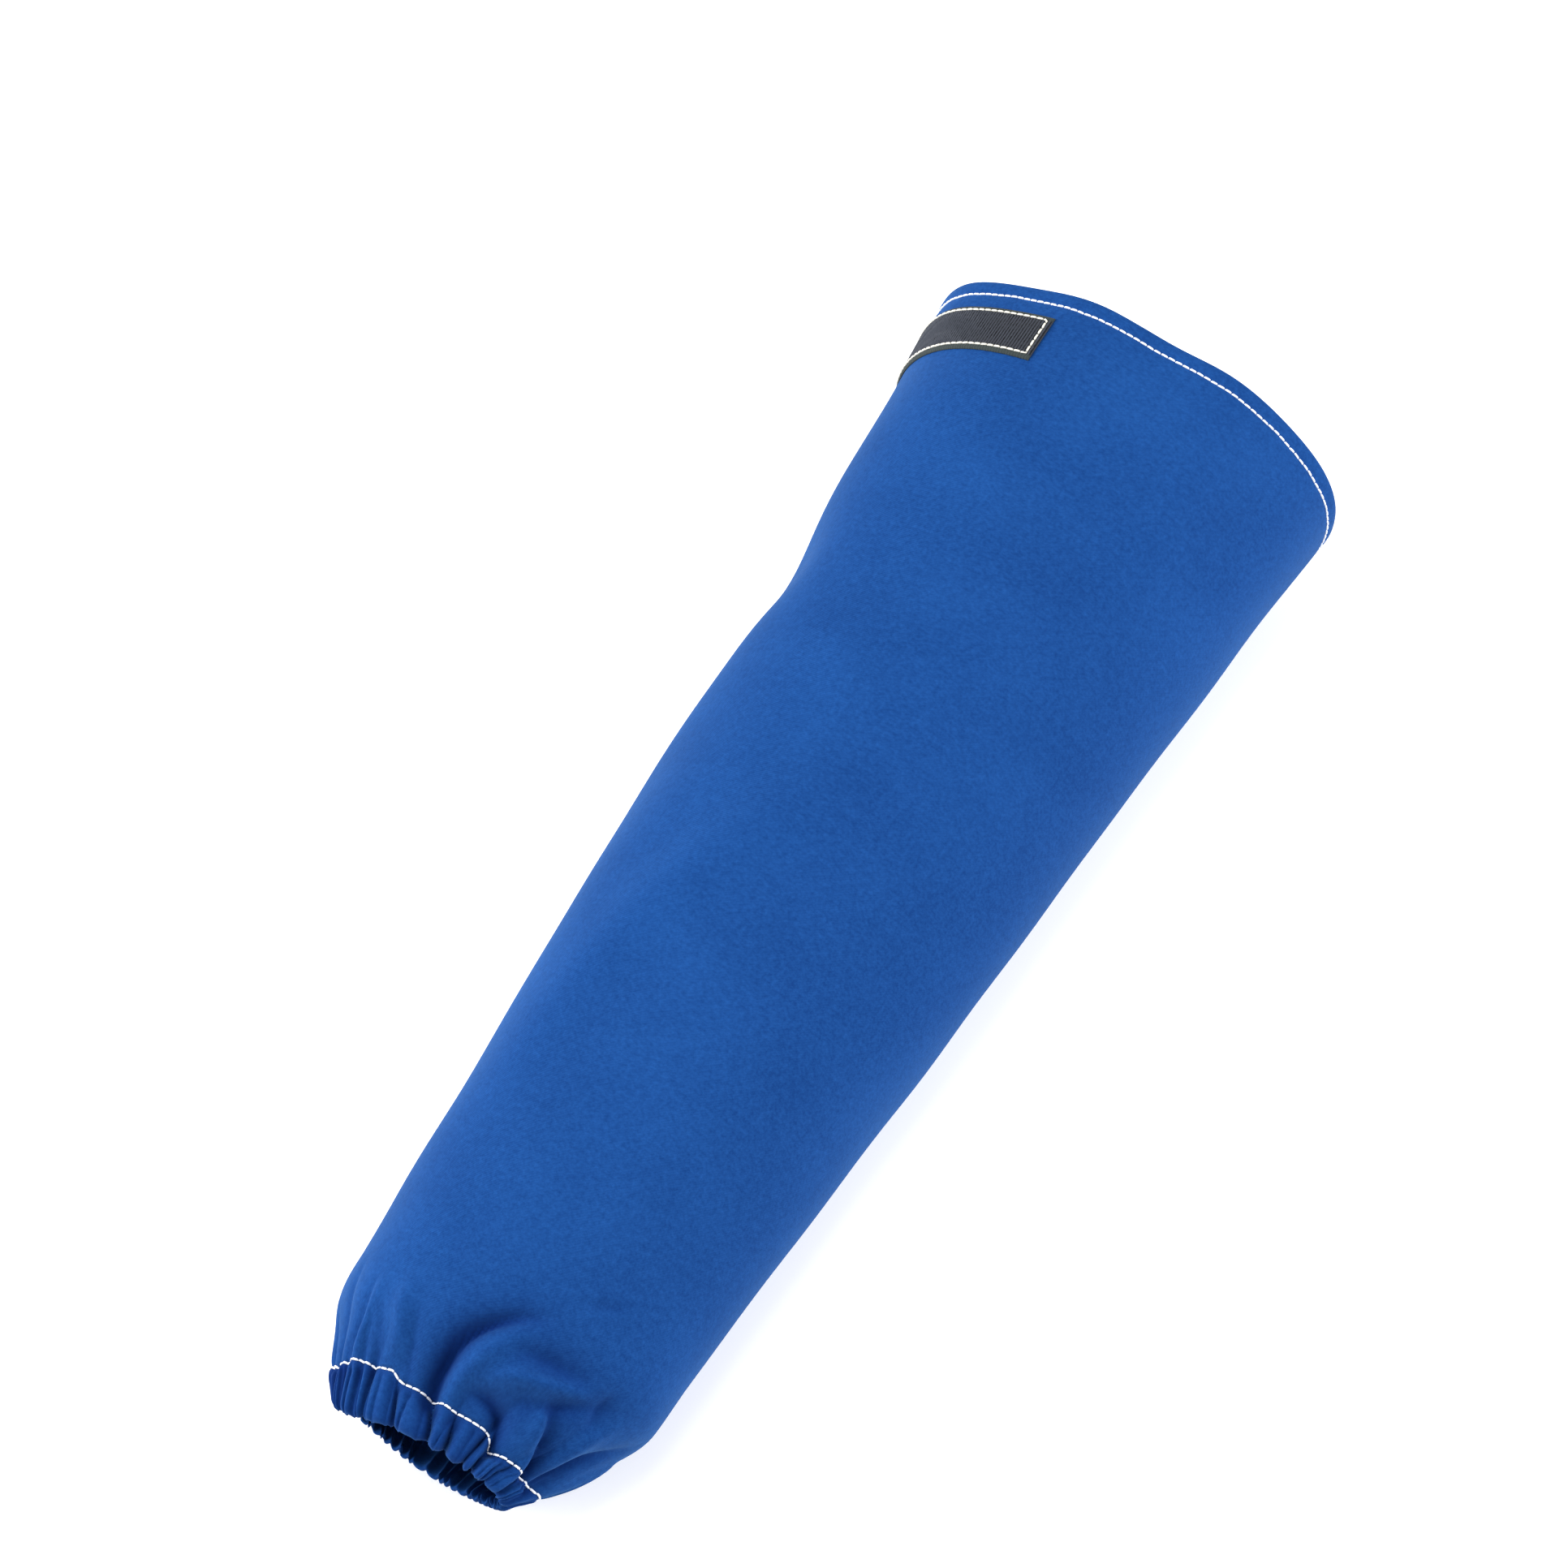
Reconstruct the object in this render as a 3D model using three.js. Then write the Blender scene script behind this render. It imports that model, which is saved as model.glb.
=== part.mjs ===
import * as THREE from 'three';

// Welding sleeve lying on its underside, sizes in millimetres.
// X runs across the sleeve, +Y towards the upper opening, +Z up.

// Driving dimensions
const sleeveLength = 460;
const upperWidth = 164;
const upperHeight = 107;
const wristWidth = 70;
const wristHeight = 32;
const mouthLift = 16;
const clothThickness = 1.2;
const clearance = 0.3;

const casingDepth = 14;
const casingThickness = 3.4;
const gatherCount = 20;
const gatherDepth = 2.4;
const foldReach = 54;
const foldDepth = 6.5;
const seamSway = 3.5;
const lipSway = 4;

const hemDepth = 9;
const strapInset = 12.5;
const loopWidth = 20;
const loopThickness = 1.3;
const loopLength = 136;
const hookWidth = 20;
const hookThickness = 1.2;
const hookLength = 76;
const strapOverlap = 22;

// How finely the cloth is divided
const pointsPerGather = 4;
const upperPoints = 48;
const wristStep = 4.4;
const upperStep = 30;

const degree = Math.PI / 180;
const seamAngle = -90 * degree;

// Cross-sections from the wrist edge up. along is a share of the sleeve's length, width and height are
// shares of the way from the wrist's size to the upper opening's, shift is a share of the upper width,
// lift a share of the mouth's lift, and rest says how far the underside is pressed flat.
const sections = [
  { along: 0.000, width: 0.000, height: 0.000, shift: -0.011, lift: 1.00, rest: 0.0 },
  { along: 0.030, width: 0.163, height: 0.150, shift: -0.024, lift: 0.52, rest: 0.2 },
  { along: 0.048, width: 0.268, height: 0.300, shift: -0.018, lift: 0.32, rest: 0.5 },
  { along: 0.068, width: 0.376, height: 0.430, shift: -0.012, lift: 0.16, rest: 0.8 },
  { along: 0.106, width: 0.481, height: 0.545, shift: 0.008, lift: 0.00, rest: 1.0 },
  { along: 0.145, width: 0.497, height: 0.585, shift: 0.005, lift: 0.00, rest: 1.0 },
  { along: 0.387, width: 0.673, height: 0.705, shift: -0.008, lift: 0.00, rest: 1.0 },
  { along: 0.708, width: 0.782, height: 0.840, shift: 0.012, lift: 0.00, rest: 1.0 },
  { along: 0.826, width: 0.868, height: 0.907, shift: 0.008, lift: 0.00, rest: 1.0 },
  { along: 1.000, width: 1.000, height: 1.000, shift: 0.007, lift: 0.00, rest: 1.0 },
];

// Folds that run up from the gathered wrist. from and to are shares of the folds' reach, the angles go round
// from the right side (0) over the top (90), spread is half the fold's width in degrees, and depth is a share
// of the deepest fold, outward where it is above zero.
const folds = [
  { name: 'leftValley', from: 0.00, angle: 166, to: 0.50, toAngle: 131, spread: 8, depth: -0.60 },
  { name: 'leftRidge', from: 0.00, angle: 145, to: 0.55, toAngle: 126, spread: 7, depth: 0.32 },
  { name: 'leftStreak', from: 0.42, angle: 150, to: 1.05, toAngle: 145, spread: 6, depth: -0.24 },
  { name: 'topLeftRidge', from: 0.00, angle: 107, to: 0.45, toAngle: 112, spread: 8, depth: 0.32 },
  { name: 'middleValley', from: 0.00, angle: 95, to: 0.66, toAngle: 81, spread: 6, depth: -1.00 },
  { name: 'middleRidge', from: 0.00, angle: 86, to: 0.52, toAngle: 76, spread: 6, depth: 0.38 },
  { name: 'hookedValley', from: 0.00, angle: 64, to: 0.20, toAngle: 80, spread: 6, depth: -0.46 },
  { name: 'crossRidge', from: 0.10, angle: 44, to: 0.30, toAngle: 68, spread: 7, depth: 0.34 },
  { name: 'rightValley', from: 0.00, angle: 33, to: 0.36, toAngle: 50, spread: 6, depth: -0.48 },
  { name: 'rightHollow', from: 0.36, angle: 32, to: 0.62, toAngle: 40, spread: 6, depth: -0.26 },
  { name: 'sideValley', from: 0.00, angle: 23, to: 0.42, toAngle: 4, spread: 7, depth: -0.48 },
  { name: 'lowRightValley', from: 0.00, angle: -22, to: 0.55, toAngle: -28, spread: 8, depth: -0.50 },
  { name: 'underRightValley', from: 0.00, angle: -58, to: 0.40, toAngle: -52, spread: 8, depth: -0.42 },
  { name: 'underValley', from: 0.00, angle: -100, to: 0.36, toAngle: -96, spread: 9, depth: -0.40 },
  { name: 'underLeftValley', from: 0.00, angle: -134, to: 0.46, toAngle: -138, spread: 8, depth: -0.48 },
  { name: 'lowLeftValley', from: 0.00, angle: -168, to: 0.60, toAngle: -164, spread: 8, depth: -0.52 },
];

// Single dents and puffs. along is a share of the sleeve's length, length the half length as a share of the
// folds' reach, spread half the width in degrees, and depth a share of the deepest fold.
const dents = [
  { name: 'wristPuff', along: 0.063, angle: 62, length: 0.10, spread: 13, depth: 0.36 },
  { name: 'wristHollow', along: 0.080, angle: 60, length: 0.10, spread: 13, depth: -0.40 },
  { name: 'waistDent', along: 0.708, angle: 156, length: 0.55, spread: 14, depth: -0.50 },
  { name: 'shoulderDent', along: 0.900, angle: 40, length: 0.90, spread: 16, depth: -0.24 },
];

// The doubled cloth at the wrist, rounded at its folded edge and pinched at its seam. up is a share of the
// casing's depth and in a share of its thickness.
const casingOutline = [
  { up: 0.00, in: 0.40 },
  { up: 0.10, in: 0.08 },
  { up: 0.45, in: 0.00 },
  { up: 0.85, in: 0.05 },
  { up: 1.00, in: 0.20 },
  { up: 1.00, in: 0.85 },
  { up: 0.45, in: 1.00 },
  { up: 0.08, in: 0.88 },
];

// Shape of the lying cross-section, as shares of its height, and the power that rounds its sides
const beltShare = 0.46;
const sagShare = 0.11;
const settleShare = 0.05;
const sideRoundness = 0.92;

// How the gathers and folds fade, as shares of the folds' reach, and where the wrist's rings are drawn aside
const gatherFadePower = 2.2;
const foldRise = 0.18;
const foldFall = 0.17;
const steepestSlope = 1.2;
const seamSwayAngle = -10 * degree;
const lipSwayAngle = 215 * degree;
const swaySpread = 42 * degree;

const upperEdge = sleeveLength;
const tubeStart = casingDepth + clearance;
const loopTop = upperEdge - strapInset;
const loopBottom = loopTop - loopWidth;
const hookTop = loopTop - (loopWidth - hookWidth) / 2;
const hookBottom = hookTop - hookWidth;
const strapLift = hookThickness + clearance;
const strapLiftRun = 60;
const rampLength = 8;
const rampStartTurn = 1.5 * degree;
const facetMargin = 0.6 * degree;
const normalStep = 1.5 * degree;
const slopeStep = 1 * degree;

function smoothStep(from, to, value) {
  const share = THREE.MathUtils.clamp((value - from) / (to - from), 0, 1);
  return share * share * (3 - 2 * share);
}

// A smooth curve through one column of a table that never overshoots its rows.
function columnCurve(rows, column) {
  const xs = rows.map((row) => row.along);
  const ys = rows.map((row) => row[column]);
  const slopes = xs.slice(1).map((x, i) => (ys[i + 1] - ys[i]) / (x - xs[i]));
  const tangents = xs.map((x, i) => {
    const before = slopes[Math.max(i - 1, 0)];
    const after = slopes[Math.min(i, slopes.length - 1)];
    return before * after <= 0 ? 0 : (2 * before * after) / (before + after);
  });
  return (along) => {
    const x = THREE.MathUtils.clamp(along, xs[0], xs[xs.length - 1]);
    let i = 0;
    while (i < xs.length - 2 && x > xs[i + 1]) i += 1;
    const run = xs[i + 1] - xs[i];
    const t = (x - xs[i]) / run;
    const bend = t * t * (3 - 2 * t);
    const rise = t * (1 - t);
    return ys[i] * (1 - bend) + ys[i + 1] * bend
      + run * rise * (tangents[i] * (1 - t) - tangents[i + 1] * t);
  };
}

const sectionCurves = Object.fromEntries(
  ['width', 'height', 'shift', 'lift', 'rest'].map((column) => [column, columnCurve(sections, column)]),
);

function sectionAt(distance) {
  const along = distance / sleeveLength;
  const strapRaise = strapLift * smoothStep(loopBottom - strapLiftRun, loopBottom, distance);
  return {
    centre: upperWidth * sectionCurves.shift(along),
    halfWidth: THREE.MathUtils.lerp(wristWidth, upperWidth, sectionCurves.width(along)) / 2,
    height: THREE.MathUtils.lerp(wristHeight, upperHeight, sectionCurves.height(along)),
    underside: mouthLift * sectionCurves.lift(along) + strapRaise,
    rest: sectionCurves.rest(along),
  };
}

// Lets the cloth settle softly on the plane that it lies on.
function settle(z, blend) {
  if (z >= blend) return z;
  if (z <= -blend) return 0;
  return (z + blend) ** 2 / (4 * blend);
}

// A point of the smooth sleeve without folds, in the plane across the sleeve.
function smoothPoint(distance, angle) {
  const { centre, halfWidth, height, underside, rest } = sectionAt(distance);
  const cosine = Math.cos(angle);
  const sine = Math.sin(angle);
  const belt = height * beltShare;
  const sag = height * sagShare * rest;
  const x = centre + halfWidth * Math.sign(cosine) * Math.abs(cosine) ** sideRoundness;
  const lower = belt - (belt + sag) * Math.abs(sine) ** sideRoundness;
  const upper = belt + (height - belt) * sine;
  const z = sine > 0 ? upper : settle(lower, height * settleShare * rest + clearance);
  return new THREE.Vector2(x, underside + z);
}

function turnBetween(angle, other) {
  const turn = (angle - other) % (2 * Math.PI);
  if (turn > Math.PI) return turn - 2 * Math.PI;
  if (turn < -Math.PI) return turn + 2 * Math.PI;
  return turn;
}

function bell(value) {
  return Math.exp(-value * value);
}

// How far the cloth stands out from the smooth sleeve: gathers, folds and dents.
function clothRelief(distance, angle) {
  const reach = (distance - casingDepth) / foldReach;
  const gatherFade = THREE.MathUtils.clamp(1 - reach, 0, 1) ** gatherFadePower;
  const wave = 0.5 + 0.5 * Math.cos(gatherCount * (angle - seamAngle));
  let relief = -gatherDepth * gatherFade * wave;
  for (const fold of folds) {
    const share = THREE.MathUtils.clamp((reach - fold.from) / (fold.to - fold.from), 0, 1);
    const line = THREE.MathUtils.lerp(fold.angle, fold.toAngle, share) * degree;
    const rise = smoothStep(fold.from - foldRise, fold.from + foldRise / 2, reach);
    const fade = rise * (1 - smoothStep(fold.to - foldFall, fold.to + foldFall, reach));
    relief += foldDepth * fold.depth * fade * bell(turnBetween(angle, line) / (fold.spread * degree));
  }
  for (const dent of dents) {
    const run = (distance - dent.along * sleeveLength) / (dent.length * foldReach);
    const turn = turnBetween(angle, dent.angle * degree) / (dent.spread * degree);
    relief += foldDepth * dent.depth * bell(run) * bell(turn);
  }
  return relief;
}

// The wrist's seam lies nearer the edge on the right, and the lower left lip is drawn up the sleeve.
function swayAt(distance, angle) {
  const rise = smoothStep(0, casingDepth, distance);
  const fall = 1 - smoothStep(casingDepth, casingDepth + foldReach, distance);
  const seam = seamSway * rise * fall * bell(turnBetween(angle, seamSwayAngle) / swaySpread);
  const lip = lipSway * (1 - rise) * bell(turnBetween(angle, lipSwayAngle) / swaySpread);
  return lip - seam;
}

function outwardNormal(distance, angle) {
  const before = smoothPoint(distance, angle - normalStep);
  const after = smoothPoint(distance, angle + normalStep);
  return new THREE.Vector2(after.y - before.y, before.x - after.x).normalize();
}

// A point at a height over the cloth's outer face. The height follows the slope of a fold, so the wall keeps
// its thickness on the fold's sides.
function clothPoint(distance, angle, height) {
  const before = angle - slopeStep;
  const after = angle + slopeStep;
  const span = smoothPoint(distance, after).distanceTo(smoothPoint(distance, before));
  const rise = clothRelief(distance, after) - clothRelief(distance, before);
  const slope = Math.min(Math.abs(rise / span), steepestSlope);
  const offset = clothRelief(distance, angle) + height * Math.sqrt(1 + slope * slope);
  const point = smoothPoint(distance, angle).addScaledVector(outwardNormal(distance, angle), offset);
  const lowest = sectionAt(distance).underside + Math.max(-height, 0);
  const y = distance - sleeveLength / 2 + swayAt(distance, angle);
  return new THREE.Vector3(point.x, y, height > 0 ? point.y : Math.max(point.y, lowest));
}

function ringAngles(count) {
  return Array.from({ length: count }, (_, i) => seamAngle + (i / count) * 2 * Math.PI);
}

function clothRing(distance, count, height) {
  return ringAngles(count).map((angle) => clothPoint(distance, angle, height));
}

// Joins two closed rings, which may have different numbers of points, with triangles.
function bridgeRings(first, second, firstStart, secondStart, triangles) {
  let i = 0;
  let j = 0;
  while (i < first || j < second) {
    const a = firstStart + (i % first);
    const b = secondStart + (j % second);
    if (j >= second || (i < first && (i + 1) / first <= (j + 1) / second)) {
      triangles.push(a, b, firstStart + ((i + 1) % first));
      i += 1;
    } else {
      triangles.push(a, b, secondStart + ((j + 1) % second));
      j += 1;
    }
  }
}

// A closed wall from rings that go up its outside and come back down its inside.
function ringWall(rings) {
  const starts = [];
  const points = [];
  for (const ring of rings) {
    starts.push(points.length);
    points.push(...ring);
  }
  const triangles = [];
  rings.forEach((ring, i) => {
    const next = (i + 1) % rings.length;
    bridgeRings(ring.length, rings[next].length, starts[i], starts[next], triangles);
  });
  return pointGeometry(points, triangles);
}

function pointGeometry(points, triangles) {
  const geometry = new THREE.BufferGeometry().setFromPoints(points);
  geometry.setIndex(triangles);
  geometry.computeVertexNormals();
  return geometry;
}

// Distances up the sleeve at which it has a ring: fine over the folds, wide above them, and one at each
// edge of the straps and of the hem, so that what lies on the cloth follows its facets.
function tubeDistances() {
  const foldTop = casingDepth + foldReach;
  const wristSteps = Math.ceil((foldTop - tubeStart) / wristStep);
  const upperSteps = Math.ceil((loopBottom - foldTop) / upperStep);
  const distances = [upperEdge, upperEdge - hemDepth, loopTop, loopBottom, hookTop, hookBottom];
  for (let i = 0; i <= wristSteps; i += 1) {
    distances.push(THREE.MathUtils.lerp(tubeStart, foldTop, i / wristSteps));
  }
  for (let i = 1; i < upperSteps; i += 1) {
    distances.push(THREE.MathUtils.lerp(foldTop, loopBottom, i / upperSteps));
  }
  const sorted = distances.sort((a, b) => a - b);
  return sorted.filter((distance, i) => i === 0 || distance - sorted[i - 1] > 0.01);
}

function pointsAt(distance) {
  return distance > casingDepth + foldReach + wristStep / 2 ? upperPoints : gatherCount * pointsPerGather;
}

function wallRings(distances, outerHeight, innerHeight) {
  const outer = distances.map((distance) => clothRing(distance, pointsAt(distance), outerHeight));
  const inner = distances.map((distance) => clothRing(distance, pointsAt(distance), innerHeight));
  return [...outer, ...inner.reverse()];
}

function sleeveTube() {
  return ringWall(wallRings(tubeDistances(), 0, -clothThickness));
}

function upperHem() {
  const distances = tubeDistances().filter((distance) => distance >= upperEdge - hemDepth - 0.01);
  const outerHeight = -clothThickness - clearance;
  return ringWall(wallRings(distances, outerHeight, outerHeight - clothThickness));
}

function wristCasing() {
  const count = gatherCount * pointsPerGather;
  const rings = casingOutline.map((row) => clothRing(row.up * casingDepth, count, -row.in * casingThickness));
  return ringWall(rings);
}

// Length of the cloth's outer face between two angles, at the middle of the straps.
function faceLength(fromAngle, toAngle) {
  const middle = loopTop - loopWidth / 2;
  const steps = 40;
  let length = 0;
  let last = clothPoint(middle, fromAngle, 0);
  for (let i = 1; i <= steps; i += 1) {
    const point = clothPoint(middle, THREE.MathUtils.lerp(fromAngle, toAngle, i / steps), 0);
    length += point.distanceTo(last);
    last = point;
  }
  return length;
}

// The angle that lies a length away from another, going round towards the left side.
function angleAfter(fromAngle, length, direction) {
  let near = 0;
  let far = 2 * Math.PI - 0.1;
  for (let i = 0; i < 30; i += 1) {
    const middle = (near + far) / 2;
    if (faceLength(fromAngle, fromAngle + direction * middle) < length) near = middle;
    else far = middle;
  }
  return fromAngle + direction * near;
}

// A flat strap that lies round the cloth, from one distance up the sleeve to another. It turns at its marks,
// the first and last of which are its ends, and at each facet of the cloth between them.
function strapBody(marks, bottom, top, thickness, heightAt) {
  const fromAngle = marks[0];
  const toAngle = marks[marks.length - 1];
  const facets = ringAngles(upperPoints)
    .map((angle) => (angle < fromAngle ? angle + 2 * Math.PI : angle))
    .filter((angle) => angle > fromAngle && angle < toAngle)
    .filter((angle) => marks.every((mark) => Math.abs(angle - mark) > facetMargin));
  const angles = [...marks, ...facets].sort((a, b) => a - b);
  const points = [];
  for (const angle of angles) {
    const height = heightAt(angle);
    points.push(
      clothPoint(bottom, angle, height),
      clothPoint(top, angle, height),
      clothPoint(top, angle, height + thickness),
      clothPoint(bottom, angle, height + thickness),
    );
  }
  const triangles = [0, 1, 2, 0, 2, 3];
  for (let i = 0; i < angles.length - 1; i += 1) {
    for (let k = 0; k < 4; k += 1) {
      const a = i * 4 + k;
      const b = i * 4 + ((k + 1) % 4);
      triangles.push(a, a + 4, b, b, a + 4, b + 4);
    }
  }
  const last = (angles.length - 1) * 4;
  triangles.push(last, last + 2, last + 1, last, last + 3, last + 2);
  return pointGeometry(points, triangles);
}

// The hook tab starts at the long seam under the sleeve and goes round to the left. The loop strip starts
// under its end and goes on over the left side to the top.
const seamTurn = seamAngle + 2 * Math.PI;
const hookEnd = angleAfter(seamTurn, hookLength, -1);
const loopLow = angleAfter(hookEnd, strapOverlap, 1);
const loopHigh = angleAfter(loopLow, loopLength, -1);

function loopStrip() {
  return strapBody([loopHigh, hookEnd, loopLow], loopBottom, loopTop, loopThickness, () => clearance);
}

function hookTab() {
  const rampStart = angleAfter(loopLow, rampLength, 1);
  const rampEnd = loopLow + rampStartTurn;
  const raised = loopThickness + clearance;
  const heightAt = (angle) => clearance + raised * (1 - smoothStep(rampEnd, rampStart, angle));
  const marks = [hookEnd, loopLow, rampEnd, rampStart, seamTurn];
  return strapBody(marks, hookBottom, hookTop, hookThickness, heightAt);
}

function clothMaterial() {
  return new THREE.MeshStandardMaterial({ color: 0x2456a0, roughness: 0.9, metalness: 0 });
}

function tapeMaterial() {
  return new THREE.MeshStandardMaterial({ color: 0x24262a, roughness: 0.85, metalness: 0 });
}

function namedMesh(name, geometry, material) {
  const mesh = new THREE.Mesh(geometry, material);
  mesh.name = name;
  return mesh;
}

const sleeve = new THREE.Group();
sleeve.add(
  namedMesh('sleeve_tube', sleeveTube(), clothMaterial()),
  namedMesh('upper_hem', upperHem(), clothMaterial()),
  namedMesh('wrist_casing', wristCasing(), clothMaterial()),
  namedMesh('loop_strip', loopStrip(), tapeMaterial()),
  namedMesh('hook_tab', hookTab(), tapeMaterial()),
);

// The origin lies under the middle of the sleeve, on the plane that it rests on.
const extent = new THREE.Box3().setFromObject(sleeve);
const middle = extent.getCenter(new THREE.Vector3());
sleeve.position.set(-middle.x, -middle.y, -extent.min.z);

export default sleeve;
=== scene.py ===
import math
import random

import bpy
import numpy as np
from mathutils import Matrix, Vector


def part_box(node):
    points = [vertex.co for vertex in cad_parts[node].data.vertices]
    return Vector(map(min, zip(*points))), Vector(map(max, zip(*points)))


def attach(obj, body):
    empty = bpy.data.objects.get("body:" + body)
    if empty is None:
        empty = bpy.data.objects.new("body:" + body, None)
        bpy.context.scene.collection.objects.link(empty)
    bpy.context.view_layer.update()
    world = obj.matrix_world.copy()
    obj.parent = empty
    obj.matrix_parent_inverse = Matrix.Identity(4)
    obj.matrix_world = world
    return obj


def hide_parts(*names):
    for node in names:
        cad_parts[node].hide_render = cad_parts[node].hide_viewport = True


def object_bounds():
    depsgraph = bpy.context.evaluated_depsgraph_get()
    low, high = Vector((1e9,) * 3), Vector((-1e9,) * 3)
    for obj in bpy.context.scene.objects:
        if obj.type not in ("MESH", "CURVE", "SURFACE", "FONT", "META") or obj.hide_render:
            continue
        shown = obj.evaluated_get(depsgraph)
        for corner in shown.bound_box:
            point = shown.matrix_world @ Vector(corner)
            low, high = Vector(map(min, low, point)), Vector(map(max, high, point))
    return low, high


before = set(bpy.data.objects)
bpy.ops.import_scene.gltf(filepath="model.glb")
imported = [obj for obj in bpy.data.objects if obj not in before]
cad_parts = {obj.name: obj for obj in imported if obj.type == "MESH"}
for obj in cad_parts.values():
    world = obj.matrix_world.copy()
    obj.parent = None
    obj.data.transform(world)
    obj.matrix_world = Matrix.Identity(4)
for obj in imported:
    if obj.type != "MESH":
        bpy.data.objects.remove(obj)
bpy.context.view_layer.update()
print("frame loaded")

mm = 0.001
_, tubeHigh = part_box("sleeve_tube")
boxLow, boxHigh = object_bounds()
sleeveLength = boxHigh.y - boxLow.y
wristEdge = boxLow.y

# shape of the lying sleeve, the same form as the frame's tube
sleeveForm = {
    "upperWidth": 164 * mm,
    "upperHeight": 107 * mm,
    "wristWidth": 70 * mm,
    "wristHeight": 32 * mm,
    "mouthLift": 16 * mm,
    "casingDepth": 14 * mm,
    "foldReach": 54 * mm,
    "strapLift": 1.5 * mm,
    "strapLiftRun": 60 * mm,
    "strapBottom": 427.5 * mm,
    "beltShare": 0.46,
    "sagShare": 0.11,
    "settleShare": 0.05,
    "sideRoundness": 0.92,
    "settleFloor": 0.3 * mm,
    "seamSway": 3.5 * mm,
    "lipSway": 4 * mm,
    "seamSwayAngle": -10,
    "lipSwayAngle": 215,
    "swaySpread": 42,
}

# cross-sections from the wrist up: shares of the length, and of the way from the wrist's size to the top's
sectionColumns = ("along", "width", "height", "shift", "lift", "rest")
sectionRows = [dict(zip(sectionColumns, row)) for row in (
    (0.000, 0.000, 0.000, -0.011, 1.00, 0.0),
    (0.030, 0.163, 0.150, -0.024, 0.52, 0.2),
    (0.048, 0.268, 0.300, -0.018, 0.32, 0.5),
    (0.068, 0.376, 0.430, -0.012, 0.16, 0.8),
    (0.106, 0.481, 0.545, 0.008, 0.00, 1.0),
    (0.145, 0.497, 0.585, 0.005, 0.00, 1.0),
    (0.387, 0.673, 0.705, -0.008, 0.00, 1.0),
    (0.708, 0.782, 0.840, 0.012, 0.00, 1.0),
    (0.826, 0.868, 0.907, 0.008, 0.00, 1.0),
    (1.000, 1.000, 1.000, 0.007, 0.00, 1.0),
)]

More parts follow.
